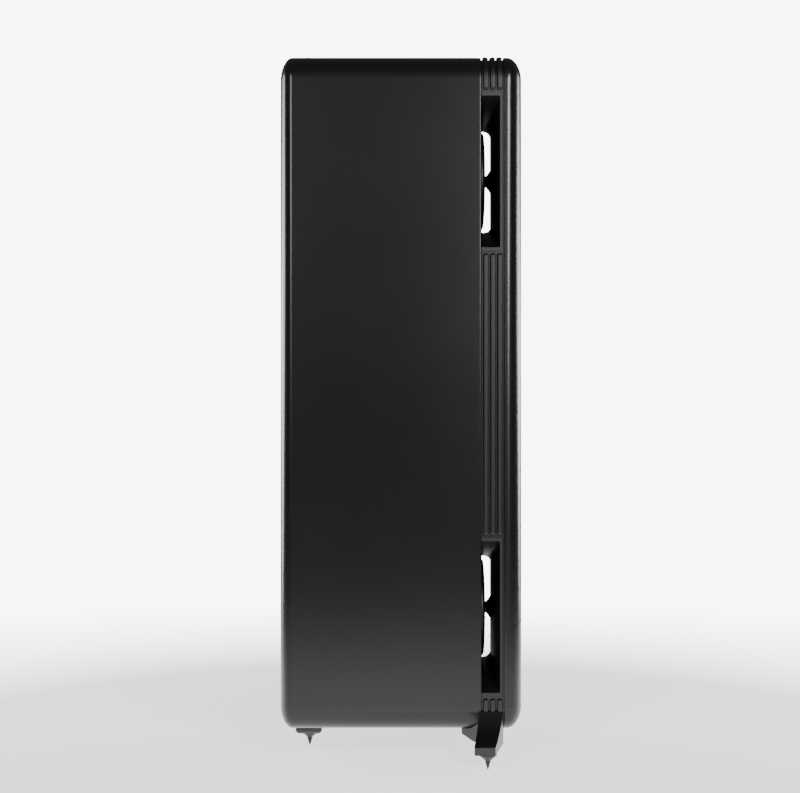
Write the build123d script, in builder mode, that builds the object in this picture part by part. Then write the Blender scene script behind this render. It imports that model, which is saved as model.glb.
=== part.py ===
from build123d import *
import os
from math import atan2, cos, degrees, pi, radians, sin, sqrt

# Tall floor-standing air purifier. +X is the front, Y is the width, +Z is up, and the origin is on the
# floor under the middle of the cabinet. All sizes are millimetres.

# Cabinet outline
cabinet_width = 230.0
cabinet_height = 902.0
cabinet_bottom = 40.0
corner_radius = 32.0
housing_depth = 269.3
band_depth = 30.0
panel_depth = 24.7
rear_round_depth = 17.0
front_round_depth = 20.0
housing_wall = 4.0
panel_wall = 3.0
front_edge_round = 2.2
panel_edge_round = 1.0
part_clearance = 0.3

cabinet_depth = housing_depth + band_depth + panel_depth
cabinet_top = cabinet_bottom + cabinet_height
mid_z = (cabinet_bottom + cabinet_top) / 2
half_width = cabinet_width / 2
rear_x = -cabinet_depth / 2
rear_round_x = rear_x + rear_round_depth
rear_wall_x = rear_x + housing_wall
housing_front_x = rear_x + housing_depth
panel_back_x = housing_front_x + band_depth
front_x = panel_back_x + panel_depth
front_round_x = front_x - front_round_depth
flat_half_width = half_width - corner_radius

# Ribbed band
rib_width = 7.0
rib_gap = 2.3
rib_height = 4.0
rib_proud = 0.7
rib_round = 2.2
rib_end_round = 3.4
rib_count = 3
rib_root = 2.0
band_wall = 7.0
band_inset = rib_height - rib_proud
first_rib_x = housing_front_x + 2.2

# Side outlets: two ducts that run through the band from one side of the cabinet to the other
upper_outlet_drop = 156.5
lower_outlet_rise = 152.5
mouth_height = 203.0
throat_height = 144.0
mouth_corner = 2.0
throat_corner = 11.0
duct_depth = 24.8
throat_depth = 18.2
duct_wall = 2.7
mouth_rim = 4.5
mouth_rim_depth = 9.0
mouth_proud = 1.2
rib_setback = 2.8
outlet_levels = (
    ("upper", cabinet_top - upper_outlet_drop),
    ("lower", cabinet_bottom + lower_outlet_rise),
)
rib_gap_height = mouth_height + 2 * (mouth_rim + rib_setback)
band_face_y = half_width - band_inset
mouth_y = band_face_y + mouth_proud
throat_front_x = housing_front_x + throat_depth

# Fans
fan_bore = 138.0
fan_frame_margin = 6.0
fan_frame_depth = 38.0
fan_hub_diameter = 52.0
blade_clearance = 2.0
blade_count = 7
blade_thickness = 2.4
blade_width = 26.0
blade_sweep = 24.0
blade_camber = 3.5
fan_corner = 8.0
fan_flange = 4.0
fan_shell = 2.5
fan_screw_head = 3.0
strut_count = 4
strut_width = 9.0
strut_thickness = 4.0
tube_wall = 2.0
tube_length = 24.0
stator_diameter = 40.0
stator_length = 14.0
stator_lift = 2.0
stator_slots = 9
stator_slot_depth = 12.0
stator_slot_width = 4.0
magnet_air_gap = 1.0
cup_back = 5.0
cup_front = 32.0
cup_face = 3.0
cup_wall = 2.0
cup_round = 2.0
rotor_boss = 3.0
shaft_diameter = 6.0
bearing_diameter = 13.0
bearing_width = 5.0
running_clearance = 0.05
baffle_thickness = 4.0
outlet_bore = 124.0
fan_screw_diameter = 4.0
ring_outer_diameter = 136.0
ring_height = 7.2
ring_round = 5.0
guard_wire = 2.6
guard_thickness = 2.2
guard_recess = 0.6
guard_boss_radius = 10.0
guard_slot_count = 7
guard_spoke_count = 6
guard_pitch = 7.2
guard_dome = 1.8
post_diameter = 16.0
cone_diameter = 34.0
cone_length = 6.5

baffle_back_x = housing_front_x - baffle_thickness
fan_back_x = baffle_back_x - fan_frame_depth
fan_frame_size = fan_bore + 2 * fan_frame_margin
fan_screw_offset = fan_frame_size / 2 - 10.0
guard_edge_x = housing_front_x + ring_height
guard_top_x = guard_edge_x + guard_dome

# Rear filter door and cassette
door_side_margin = 37.0
door_bottom_margin = 95.0
door_top_margin = 37.0
door_thickness = 4.0
door_gap = 0.8
tunnel_wall = 3.0
cassette_depth = 62.0
cassette_wall = 3.0
louvre_height = 5.0
louvre_pitch = 12.0
louvre_margin = 15.0
grip_width = 70.0
grip_height = 16.0
grip_depth = 10.0
seat_thickness = 4.0
seat_lip = 18.0
gasket_thickness = 3.0
door_width = cabinet_width - 2 * door_side_margin
door_bottom = cabinet_bottom + door_bottom_margin
door_top = cabinet_top - door_top_margin
door_height = door_top - door_bottom
door_mid_z = (door_bottom + door_top) / 2
seat_back_x = rear_x + cassette_depth

door_edge_round = 1.0
louvre_post = 8.0
grip_wall = 2.0
tray_lip = 4.0
magnet_diameter = 8.0
magnet_thickness = 3.0
plate_thickness = 1.5
gasket_width = 5.0
prefilter_thickness = 2.0
carbon_thickness = 12.0
pleat_pitch = 9.0
pleat_thickness = 1.2

# Stand and spikes
beam_thickness = 8.0
beam_rear_x = housing_front_x - 25.3
beam_front_x = panel_back_x - 1.3
leg_reach = 59.0
leg_sweep = 14.0
leg_root_width = 32.0
leg_end_width = 27.8
leg_end_bottom = 20.4
leg_end_top = 30.7
leg_root_top = 67.0
leg_gap = 1.0
spike_inset = 15.0
spike_collar_top = 22.0
collar_diameter = 24.0
shank_diameter = 8.0
shank_length = 10.0
insert_diameter = 12.0
insert_length = 11.0
leg_corner_round = 4.0
beam_chamfer = 3.0
boss_drop = 9.0
rear_counterbore = 8.0
spike_tip = 0.6
cone_height = 11.5
flare_height = 17.5
rear_foot_x = rear_x + 35.0
rear_foot_length = 36.0
rear_foot_width = 70.0
spike_y = half_width + leg_reach - spike_inset
spike_x = housing_front_x + 6.0

stand_screw_diameter = 5.0
stand_head_diameter = 9.0
stand_head_height = 3.0
stand_screw_places = (
    (housing_front_x - 12.0, 50.0),
    (housing_front_x - 12.0, -50.0),
    (rear_foot_x, 24.0),
    (rear_foot_x, -24.0),
)

# Long screws through the band into the housing, and push studs that hold the front panel
boss_size = 14.0
boss_reach = 5.0
housing_boss_reach = 11.0
housing_boss_length = 24.0
band_screw_diameter = 4.0
band_screw_bite = 18.0
band_screw_head = 8.0
stud_diameter = 6.0
stud_bite = 12.0
panel_boss_wall = 3.0
band_head_depth = 4.0
boss_y = half_width - 21.0
band_screw_heights = (
    cabinet_bottom + corner_radius + boss_size / 2,
    mid_z - 151.0,
    mid_z + 146.0,
    cabinet_top - corner_radius - boss_size / 2 - 1.5,
)
band_screw_places = [(side * boss_y, height) for side in (-1, 1) for height in band_screw_heights]
stud_places = [(side * boss_y, height) for side in (-1, 1) for height in (mid_z - 90.0, mid_z + 90.0)]
end_stud_places = [(side * 45.0, height) for side in (-1, 1) for height in (cabinet_bottom + 17.0, cabinet_top - 17.0)]

# Boards, sensor and leads
board_width = 90.0
power_board_height = 120.0
control_board_height = 130.0
standoff_length = 8.0
standoff_size = 6.0
board_screw_head = 6.0
sensor_length = 46.0
sensor_height = 38.0
sensor_thickness = 13.0
sensor_port = 8.0
lead_y = 28.0
lead_lift = 5.0
mains_lead_diameter = 7.0
fan_lead_diameter = 4.0

# Mains inlet and switch at the bottom of the back, controls on the top
service_width = 96.0
service_height = 42.0
service_depth = 7.0
service_floor = 3.0
service_mid_z = cabinet_bottom + 61.0
inlet_y = 22.0
rocker_y = -24.0
strip_width = 112.0
strip_depth = 24.0
strip_thickness = 2.5
strip_x = housing_front_x - 40.0
button_diameter = 13.6
button_pitch = 26.0
button_travel = 1.2
button_names = ("power_button", "speed_button", "mode_button")
strip_corner = 5.0
strip_ledge = 3.0
inlet_body_width = 27.0
inlet_body_height = 20.0
rocker_body_width = 13.0
rocker_body_height = 21.0
rocker_body_depth = 20.0
rocker_wall = 1.2
rocker_pocket = 12.0
rocker_pin = 2.0
rocker_tilt = 8.0
flange_lip = 2.5
flange_thickness = 2.0
inlet_body_depth = 24.0
socket_width = 23.0
socket_height = 16.0
socket_depth = 17.0
socket_corner = 4.0
blade_spacing = 7.0
contact_length = 11.0
control_board_drop = 14.4
light_length = 10.0
light_width = 4.0
light_sink = 0.2
strip_post_y = 49.0
strip_post_diameter = 5.0
button_edge_round = 0.8
button_flange = 1.0
button_flange_thickness = 1.2
stem_diameter = 3.4
stem_lift = 2.0
stem_clearance = 0.1
tact_size = 6.2
tact_height = 3.5
board_strip_depth = 16.0
pcb_thickness = 1.6

os.makedirs("parts", exist_ok=True)


def rounded_end(inset, depth, facing):
    """One end of the cabinet, flat side on X = 0, its edge a quarter ellipse of the corner radius by depth."""
    radius = corner_radius - inset
    with BuildPart() as end:
        Box(2 * radius, cabinet_width - 2 * inset, cabinet_height - 2 * inset)
        tip_edges = end.faces().sort_by(Axis.X)[-1].edges()
        fillet(end.edges().filter_by(Axis.X) + tip_edges, radius)
        split(bisect_by=Plane.YZ)
    squeezed = scale(end.part, by=(depth / radius, 1, 1))
    return squeezed if facing > 0 else mirror(squeezed, about=Plane.YZ)


def duct_core(wall, overrun):
    """A side duct about its own centre: a tall mouth, a low throat and a tall mouth, grown by a wall."""
    mouth_size = (duct_depth + wall, mouth_height / 2 + wall, mouth_corner)
    throat_size = (throat_depth + wall, throat_height / 2 + wall, throat_corner)
    stations = ((-mouth_y - overrun, mouth_size), (0, throat_size), (mouth_y + overrun, mouth_size))
    with BuildPart() as core:
        for station_y, (depth, half_height, corner) in stations:
            with BuildSketch(Plane.XZ.offset(-station_y)) as section:
                with Locations(((depth - overrun) / 2, 0)):
                    Rectangle(depth + overrun, 2 * half_height)
                fillet(section.vertices().group_by(Axis.X)[-1], corner)
        loft()
    return core.part


# Main housing: one deep moulded shell, open at the front, with a rear opening and a tunnel for the filters
rear_end = Pos(rear_round_x, 0, mid_z) * rounded_end(0, rear_round_depth, -1)
rear_hollow = Pos(rear_round_x, 0, mid_z) * rounded_end(housing_wall, rear_round_depth - housing_wall, -1)

with BuildPart() as main_housing:
    with BuildSketch(Plane.YZ.offset(rear_round_x)):
        with Locations((0, mid_z)):
            RectangleRounded(cabinet_width, cabinet_height, corner_radius)
    extrude(amount=housing_front_x - rear_round_x)
    fillet(main_housing.faces().sort_by(Axis.X)[-1].edges(), front_edge_round)
    add(rear_end)
    with BuildSketch(Plane.YZ.offset(rear_round_x)):
        with Locations((0, mid_z)):
            RectangleRounded(
                cabinet_width - 2 * housing_wall,
                cabinet_height - 2 * housing_wall,
                corner_radius - housing_wall,
            )
    extrude(amount=housing_front_x - rear_round_x, mode=Mode.SUBTRACT)
    add(rear_hollow, mode=Mode.SUBTRACT)
    # Tunnel that the filter cassette slides in
    with BuildSketch(Plane.YZ.offset(rear_x + housing_wall / 2)):
        with Locations((0, door_mid_z)):
            Rectangle(door_width + 2 * tunnel_wall, door_height + 2 * tunnel_wall)
    extrude(amount=cassette_depth - housing_wall / 2)
    with BuildSketch(Plane.YZ.offset(rear_x - 1)):
        with Locations((0, door_mid_z)):
            Rectangle(door_width, door_height)
    extrude(amount=cassette_depth + 2, mode=Mode.SUBTRACT)
    # Recess for the mains inlet and the switch, with its floor pierced for both
    with BuildSketch(Plane.YZ.offset(rear_x + housing_wall / 2)):
        with Locations((0, service_mid_z)):
            Rectangle(service_width + 2 * service_floor, service_height + 2 * service_floor)
    extrude(amount=service_depth + service_floor - housing_wall / 2)
    with BuildSketch(Plane.YZ.offset(rear_x - 1)):
        with Locations((0, service_mid_z)):
            RectangleRounded(service_width, service_height, 4)
    extrude(amount=service_depth + 1, mode=Mode.SUBTRACT)
    with BuildSketch(Plane.YZ.offset(rear_x)):
        with Locations((inlet_y, service_mid_z)):
            Rectangle(inlet_body_width + 2 * part_clearance, inlet_body_height + 2 * part_clearance)
        with Locations((rocker_y, service_mid_z)):
            Rectangle(rocker_body_width + 2 * part_clearance, rocker_body_height + 2 * part_clearance)
    extrude(amount=service_depth + service_floor + 1, mode=Mode.SUBTRACT)
    # Recess for the control strip on the top, and the slot that its buttons drop through
    with BuildSketch(Plane.XY.offset(cabinet_top - strip_thickness)):
        with Locations((strip_x, 0)):
            RectangleRounded(strip_depth + 2 * part_clearance, strip_width + 2 * part_clearance, strip_corner)
    extrude(amount=strip_thickness + 1, mode=Mode.SUBTRACT)
    with BuildSketch(Plane.XY.offset(cabinet_top - housing_wall - 1)):
        with Locations((strip_x, 0)):
            RectangleRounded(strip_depth - 2 * strip_ledge, strip_width - 2 * strip_ledge, strip_corner - 1)
    extrude(amount=housing_wall + 2, mode=Mode.SUBTRACT)
    # Screw holes: the stand beam at the front, the foot at the back
    with Locations(Plane.XY.offset(cabinet_bottom)):
        for screw_place in stand_screw_places:
            with Locations(screw_place):
                Cylinder(stand_screw_diameter / 2, 4 * housing_wall, mode=Mode.SUBTRACT)
    # Bosses for the long screws that hold the baffle and the band
    for place_y, place_z in band_screw_places:
        with BuildSketch(Plane.YZ.offset(baffle_back_x)):
            with Locations((place_y + (1 if place_y > 0 else -1) * housing_boss_reach / 2, place_z)):
                Rectangle(boss_size + housing_boss_reach, boss_size)
        extrude(amount=-housing_boss_length)
        with BuildSketch(Plane.YZ.offset(baffle_back_x)):
            with Locations((place_y, place_z)):
                Circle(band_screw_diameter / 2)
        extrude(amount=-band_screw_bite, mode=Mode.SUBTRACT)
main_housing.part.label = "main_housing"
export_step(main_housing.part, "parts/main_housing.step")

# Front baffle: the plate inside the housing's mouth that carries the fans
with BuildPart() as front_baffle:
    with BuildSketch(Plane.YZ.offset(baffle_back_x)):
        with Locations((0, mid_z)):
            RectangleRounded(
                cabinet_width - 2 * housing_wall - 2 * part_clearance,
                cabinet_height - 2 * housing_wall - 2 * part_clearance,
                corner_radius - housing_wall - part_clearance,
            )
        for _, axis_z in outlet_levels:
            with Locations((0, axis_z)):
                Circle(outlet_bore / 2, mode=Mode.SUBTRACT)
                with GridLocations(2 * fan_screw_offset, 2 * fan_screw_offset, 2, 2):
                    Circle(fan_screw_diameter / 2, mode=Mode.SUBTRACT)
        with Locations(*band_screw_places):
            Circle(band_screw_diameter / 2, mode=Mode.SUBTRACT)
    extrude(amount=baffle_thickness)
front_baffle.part.label = "front_baffle"
export_step(front_baffle.part, "parts/front_baffle.step")


def rib_bar(start_x):
    """One rib: a rounded bar that follows the cabinet's outline and stops short of the outlets and the foot."""
    with BuildPart() as rib:
        with BuildSketch(Plane.YZ.offset(start_x)) as profile:
            with Locations((0, mid_z)):
                RectangleRounded(
                    cabinet_width + 2 * rib_proud,
                    cabinet_height + 2 * rib_proud,
                    corner_radius + rib_proud,
                )
                RectangleRounded(
                    cabinet_width - 2 * band_inset - 2 * rib_root,
                    cabinet_height - 2 * band_inset - 2 * rib_root,
                    corner_radius - band_inset - rib_root,
                    mode=Mode.SUBTRACT,
                )
            for _, axis_z in outlet_levels:
                with Locations((0, axis_z)):
                    Rectangle(2 * cabinet_width, rib_gap_height, mode=Mode.SUBTRACT)
            with Locations((0, cabinet_bottom)):
                Rectangle(2 * flat_half_width, 4 * rib_height, mode=Mode.SUBTRACT)
            tips = [
                corner
                for corner in profile.vertices()
                if abs(corner.X) > half_width or corner.Y < cabinet_bottom
            ]
            end_tips = [
                corner
                for corner in tips
                if any(abs(abs(corner.Y - axis_z) - rib_gap_height / 2) < 0.01 for _, axis_z in outlet_levels)
                or abs(abs(corner.X) - flat_half_width) < 0.01
            ]
            fillet(end_tips, rib_end_round)
        extrude(amount=rib_width)
        crest_edges = [
            edge
            for edge in rib.edges()
            if abs(edge.center().X - start_x) < 0.01 or abs(edge.center().X - start_x - rib_width) < 0.01
        ]
        outer_edges = [edge for edge in crest_edges if not on_rib_root(edge)]
        fillet(outer_edges, rib_round)
    return rib.part


def on_rib_root(edge):
    """Whether an edge lies on the rib's buried inner outline."""
    middle = edge @ 0.5
    inset = band_inset + rib_root
    across = abs(middle.Y) - flat_half_width
    up = abs(middle.Z - mid_z) - (cabinet_height / 2 - corner_radius)
    if across > 0 and up > 0:
        return sqrt(across**2 + up**2) < corner_radius - inset + 0.01
    return across < corner_radius - inset + 0.01 and up < corner_radius - inset + 0.01


# Ribbed band: the frame between the housing and the front panel, pierced by the four duct mouths
ribs = [rib_bar(first_rib_x + rib_number * (rib_width + rib_gap)) for rib_number in range(rib_count)]

with BuildPart() as ribbed_band:
    with BuildSketch(Plane.YZ.offset(housing_front_x)):
        with Locations((0, mid_z)):
            RectangleRounded(
                cabinet_width - 2 * band_inset,
                cabinet_height - 2 * band_inset,
                corner_radius - band_inset,
            )
            RectangleRounded(
                cabinet_width - 2 * band_inset - 2 * band_wall,
                cabinet_height - 2 * band_inset - 2 * band_wall,
                corner_radius - band_inset - band_wall,
                mode=Mode.SUBTRACT,
            )
    extrude(amount=band_depth)
    add(ribs)
    # Bosses along the sides for the long screws and the panel studs
    for place_y, place_z in band_screw_places + stud_places:
        with BuildSketch(Plane.YZ.offset(housing_front_x)):
            with Locations((place_y + (1 if place_y > 0 else -1) * boss_reach / 2, place_z)):
                Rectangle(boss_size + boss_reach, boss_size)
        extrude(amount=band_depth)
    for place_y, place_z in end_stud_places:
        with BuildSketch(Plane.YZ.offset(housing_front_x)):
            with Locations((place_y, place_z + (1 if place_z > mid_z else -1) * boss_reach / 2)):
                Rectangle(boss_size, boss_size + boss_reach)
        extrude(amount=band_depth)
    with BuildSketch(Plane.YZ.offset(housing_front_x)):
        with Locations(*band_screw_places):
            Circle(band_screw_diameter / 2)
    extrude(amount=band_depth, mode=Mode.SUBTRACT)
    with BuildSketch(Plane.YZ.offset(panel_back_x)):
        with Locations(*(stud_places + end_stud_places)):
            Circle(stud_diameter / 2)
    extrude(amount=-stud_bite, mode=Mode.SUBTRACT)
    # Counterbores for the heads of the long screws
    with BuildSketch(Plane.YZ.offset(panel_back_x)):
        with Locations(*band_screw_places):
            Circle(band_screw_head / 2 + part_clearance)
    extrude(amount=-band_head_depth, mode=Mode.SUBTRACT)
    # Windows for the duct mouths
    for _, axis_z in outlet_levels:
        with BuildSketch(Plane.YZ.offset(housing_front_x - 1)):
            with Locations((0, axis_z)):
                Rectangle(2 * cabinet_width, mouth_height + 2 * mouth_rim + 2 * part_clearance)
        extrude(amount=duct_depth + duct_wall + part_clearance + 1, mode=Mode.SUBTRACT)
ribbed_band.part.label = "ribbed_band"
export_step(ribbed_band.part, "parts/ribbed_band.step")

# Front panel: a shallow dished tray with stud bosses on its back
front_end = Pos(front_round_x, 0, mid_z) * rounded_end(0, front_round_depth, 1)
front_hollow = Pos(front_round_x, 0, mid_z) * rounded_end(panel_wall, front_round_depth - panel_wall, 1)

with BuildPart() as panel_blank:
    with BuildSketch(Plane.YZ.offset(panel_back_x)):
        with Locations((0, mid_z)):
            RectangleRounded(cabinet_width, cabinet_height, corner_radius)
    extrude(amount=front_round_x - panel_back_x)
    fillet(panel_blank.faces().sort_by(Axis.X)[0].edges(), panel_edge_round)
    add(front_end)

with BuildPart() as front_panel:
    add(panel_blank.part)
    with BuildSketch(Plane.YZ.offset(panel_back_x)):
        with Locations((0, mid_z)):
            RectangleRounded(
                cabinet_width - 2 * panel_wall,
                cabinet_height - 2 * panel_wall,
                corner_radius - panel_wall,
            )
    extrude(amount=front_round_x - panel_back_x, mode=Mode.SUBTRACT)
    add(front_hollow, mode=Mode.SUBTRACT)
    with BuildSketch(Plane.YZ.offset(panel_back_x)):
        with Locations(*(stud_places + end_stud_places)):
            Circle(stud_diameter / 2 + panel_boss_wall)
    extrude(amount=panel_depth)
    add(panel_blank.part, mode=Mode.INTERSECT)
    with BuildSketch(Plane.YZ.offset(panel_back_x)):
        with Locations(*(stud_places + end_stud_places)):
            Circle(stud_diameter / 2)
    extrude(amount=stud_bite, mode=Mode.SUBTRACT)
front_panel.part.label = "front_panel"
export_step(front_panel.part, "parts/front_panel.step")


# Duct liners: the smooth flared walls of the two side outlets, open towards the baffle
outer_core = duct_core(duct_wall, 0)
inner_core = duct_core(0, 1)

for level, axis_z in outlet_levels:
    with BuildPart() as duct_liner:
        add(Pos(housing_front_x, 0, axis_z) * outer_core)
        for side in (-1, 1):
            with BuildSketch(Plane.XZ.offset(side * mouth_y)):
                with Locations((housing_front_x + (duct_depth + duct_wall) / 2, axis_z)):
                    Rectangle(duct_depth + duct_wall, mouth_height + 2 * mouth_rim)
            extrude(amount=-side * mouth_rim_depth)
        add(Pos(housing_front_x, 0, axis_z) * inner_core, mode=Mode.SUBTRACT)
    duct_liner.part.label = f"{level}_duct_liner"
    export_step(duct_liner.part, f"parts/{level}_duct_liner.step")

# Outlet rings and finger guards: a rounded rim round each fan's outlet, and a shallow dome of slots in it
for level, axis_z in outlet_levels:
    outlet_plane = Plane(origin=(housing_front_x, 0, axis_z), x_dir=(0, 1, 0), z_dir=(1, 0, 0))
    with BuildPart() as outlet_ring:
        with BuildSketch(outlet_plane):
            Circle(ring_outer_diameter / 2)
            Circle(outlet_bore / 2, mode=Mode.SUBTRACT)
        extrude(amount=ring_height)
        fillet(outlet_ring.faces().sort_by(Axis.X)[-1].edges().sort_by(SortBy.LENGTH)[-1], ring_round)
    outlet_ring.part.label = f"{level}_outlet_ring"
    export_step(outlet_ring.part, f"parts/{level}_outlet_ring.step")

    guard_radius = outlet_bore / 2
    guard_rim_x = guard_edge_x - guard_recess
    guard_half_x = guard_top_x - (guard_top_x - guard_rim_x) / 4
    with BuildPart() as finger_guard:
        with BuildSketch(Plane.XY):
            with BuildLine():
                front_arc = ThreePointArc(
                    (guard_top_x, 0), (guard_half_x, guard_radius / 2), (guard_rim_x, guard_radius)
                )
                back_arc = ThreePointArc(
                    (guard_top_x - guard_thickness, 0),
                    (guard_half_x - guard_thickness, guard_radius / 2),
                    (guard_rim_x - guard_thickness, guard_radius),
                )
                Line(front_arc @ 1, back_arc @ 1)
                Line(front_arc @ 0, back_arc @ 0)
            make_face()
        revolve(axis=Axis.X)
        with BuildSketch(Plane.YZ.offset(housing_front_x)):
            for slot_number in reversed(range(guard_slot_count)):
                slot_inner = guard_boss_radius + slot_number * guard_pitch
                Circle(slot_inner + guard_pitch - guard_wire)
                Circle(slot_inner, mode=Mode.SUBTRACT)
            with PolarLocations(guard_radius / 2, guard_spoke_count):
                Rectangle(guard_radius, guard_wire, mode=Mode.SUBTRACT)
        extrude(amount=2 * ring_height, mode=Mode.SUBTRACT)
    finger_guard.part = Pos(0, 0, axis_z) * finger_guard.part
    finger_guard.part.label = f"{level}_finger_guard"
    export_step(finger_guard.part, f"parts/{level}_finger_guard.step")

    # Deflector: a cone on the duct's front wall that turns the air to both sides, with a post to the guard
    with BuildPart() as deflector:
        with BuildSketch(Plane.XY):
            with BuildLine():
                Polyline(
                    (throat_front_x, 0),
                    (throat_front_x, cone_diameter / 2),
                    (throat_front_x - cone_length, post_diameter / 2),
                    (guard_top_x, post_diameter / 2),
                    (guard_top_x, 0),
                    close=True,
                )
            make_face()
        revolve(axis=Axis.X)
    deflector.part = Pos(0, 0, axis_z) * deflector.part
    deflector.part.label = f"{level}_deflector"
    export_step(deflector.part, f"parts/{level}_deflector.step")

# Fans: frame with struts, stator on the bearing tube, bearings, shaft and bladed rotor, screwed to the baffle
for level, axis_z in outlet_levels:
    fan_plane = Plane(origin=(fan_back_x, 0, axis_z), x_dir=(0, 1, 0), z_dir=(1, 0, 0))
    with BuildPart() as fan_frame:
        with BuildSketch(fan_plane):
            RectangleRounded(fan_frame_size, fan_frame_size, fan_corner)
        extrude(amount=fan_flange)
        with BuildSketch(fan_plane.offset(fan_frame_depth - fan_flange)):
            RectangleRounded(fan_frame_size, fan_frame_size, fan_corner)
        extrude(amount=fan_flange)
        with BuildSketch(fan_plane):
            Circle(fan_bore / 2 + fan_shell)
        extrude(amount=fan_frame_depth)
        with BuildSketch(fan_plane):
            Circle(fan_bore / 2)
        extrude(amount=fan_frame_depth, mode=Mode.SUBTRACT)
        with BuildSketch(fan_plane):
            with PolarLocations(fan_bore / 4, strut_count, start_angle=45):
                Rectangle(fan_bore / 2 + fan_shell, strut_width)
            Circle(fan_hub_diameter / 2)
        extrude(amount=strut_thickness)
        with BuildSketch(fan_plane):
            Circle(bearing_diameter / 2 + tube_wall)
        extrude(amount=tube_length)
        with BuildSketch(fan_plane.offset(strut_thickness - 1)):
            Circle(bearing_diameter / 2)
        extrude(amount=tube_length, mode=Mode.SUBTRACT)
        with BuildSketch(fan_plane):
            with GridLocations(2 * fan_screw_offset, 2 * fan_screw_offset, 2, 2):
                Circle(fan_screw_diameter / 2)
        extrude(amount=fan_frame_depth, mode=Mode.SUBTRACT)
    fan_frame.part.label = f"{level}_fan_frame"
    export_step(fan_frame.part, f"parts/{level}_fan_frame.step")

    with BuildPart() as stator:
        with BuildSketch(fan_plane.offset(strut_thickness + stator_lift)):
            Circle(stator_diameter / 2)
            with PolarLocations(stator_diameter / 2, stator_slots):
                Rectangle(stator_slot_depth, stator_slot_width, mode=Mode.SUBTRACT)
            Circle(bearing_diameter / 2 + tube_wall, mode=Mode.SUBTRACT)
        extrude(amount=stator_length)
    stator.part.label = f"{level}_fan_stator"
    export_step(stator.part, f"parts/{level}_fan_stator.step")

    with BuildPart() as shaft:
        with BuildSketch(fan_plane.offset(strut_thickness + part_clearance)):
            Circle(shaft_diameter / 2)
        extrude(amount=cup_front - strut_thickness - part_clearance)
        chamfer(shaft.edges().filter_by(GeomType.CIRCLE), 0.4)
    shaft.part.label = f"{level}_fan_shaft"
    export_step(shaft.part, f"parts/{level}_fan_shaft.step")

    with BuildPart() as rotor_magnet:
        with BuildSketch(fan_plane.offset(strut_thickness + stator_lift)):
            Circle(fan_hub_diameter / 2 - cup_wall)
            Circle(stator_diameter / 2 + magnet_air_gap, mode=Mode.SUBTRACT)
        extrude(amount=stator_length)
    rotor_magnet.part.label = f"{level}_rotor_magnet"
    export_step(rotor_magnet.part, f"parts/{level}_rotor_magnet.step")

    blade_plane = Plane(origin=(fan_back_x + cup_back + blade_width / 2, 0, axis_z), x_dir=(1, 0, 0), z_dir=(0, 0, 1))
    with BuildPart() as blade:
        with BuildSketch(blade_plane.offset(fan_hub_diameter / 2 - cup_wall / 2)):
            with BuildLine():
                pressure_side = ThreePointArc(
                    (-blade_width / 2, -blade_sweep / 2), (blade_camber, 0), (blade_width / 2, blade_sweep / 2)
                )
                suction_side = ThreePointArc(
                    (-blade_width / 2, -blade_sweep / 2 + blade_thickness),
                    (blade_camber - blade_thickness * 0.6, blade_thickness * 0.6),
                    (blade_width / 2, blade_sweep / 2 + blade_thickness),
                )
                Line(pressure_side @ 0, suction_side @ 0)
                Line(pressure_side @ 1, suction_side @ 1)
            make_face()
        extrude(amount=fan_bore / 2)
        with BuildSketch(fan_plane):
            Circle(fan_bore / 2 - blade_clearance)
        extrude(amount=fan_frame_depth, mode=Mode.INTERSECT)

    blade_turn = 360 / blade_count
    axle = Axis((0, 0, axis_z), (1, 0, 0))
    blade_ring = [blade.part.rotate(axle, number * blade_turn) for number in range(blade_count)]
    with BuildPart() as impeller:
        with BuildSketch(fan_plane.offset(cup_back)):
            Circle(fan_hub_diameter / 2)
        extrude(amount=cup_front - cup_back)
        fillet(impeller.faces().sort_by(Axis.X)[-1].edges(), cup_round)
        add(blade_ring)
        with BuildSketch(fan_plane.offset(cup_back)):
            Circle(fan_hub_diameter / 2 - cup_wall)
        extrude(amount=cup_front - cup_back - cup_face, mode=Mode.SUBTRACT)
        with BuildSketch(fan_plane.offset(cup_front - cup_face - rotor_boss)):
            Circle(shaft_diameter / 2 + cup_wall)
        extrude(amount=rotor_boss)
        with BuildSketch(fan_plane):
            Circle(shaft_diameter / 2)
        extrude(amount=cup_front, mode=Mode.SUBTRACT)
    impeller.part.label = f"{level}_impeller"
    export_step(impeller.part, f"parts/{level}_impeller.step")

with BuildPart() as fan_bearings:
    for _, axis_z in outlet_levels:
        fan_plane = Plane(origin=(fan_back_x, 0, axis_z), x_dir=(0, 1, 0), z_dir=(1, 0, 0))
        for bearing_lift in (strut_thickness, tube_length - bearing_width):
            with BuildSketch(fan_plane.offset(bearing_lift)):
                Circle(bearing_diameter / 2)
                Circle(shaft_diameter / 2 + running_clearance, mode=Mode.SUBTRACT)
            extrude(amount=bearing_width)
fan_bearings.part.label = "fan_bearings"
export_step(fan_bearings.part, "parts/fan_bearings.step")

with BuildPart() as fan_screws:
    for _, axis_z in outlet_levels:
        fan_plane = Plane(origin=(fan_back_x, 0, axis_z), x_dir=(0, 1, 0), z_dir=(1, 0, 0))
        with BuildSketch(fan_plane):
            with GridLocations(2 * fan_screw_offset, 2 * fan_screw_offset, 2, 2):
                Circle(fan_screw_diameter / 2)
        extrude(amount=fan_frame_depth + baffle_thickness)
        with BuildSketch(fan_plane):
            with GridLocations(2 * fan_screw_offset, 2 * fan_screw_offset, 2, 2):
                Circle(fan_screw_diameter)
        extrude(amount=-fan_screw_head)
fan_screws.part.label = "fan_screws"
export_step(fan_screws.part, "parts/fan_screws.step")

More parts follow.
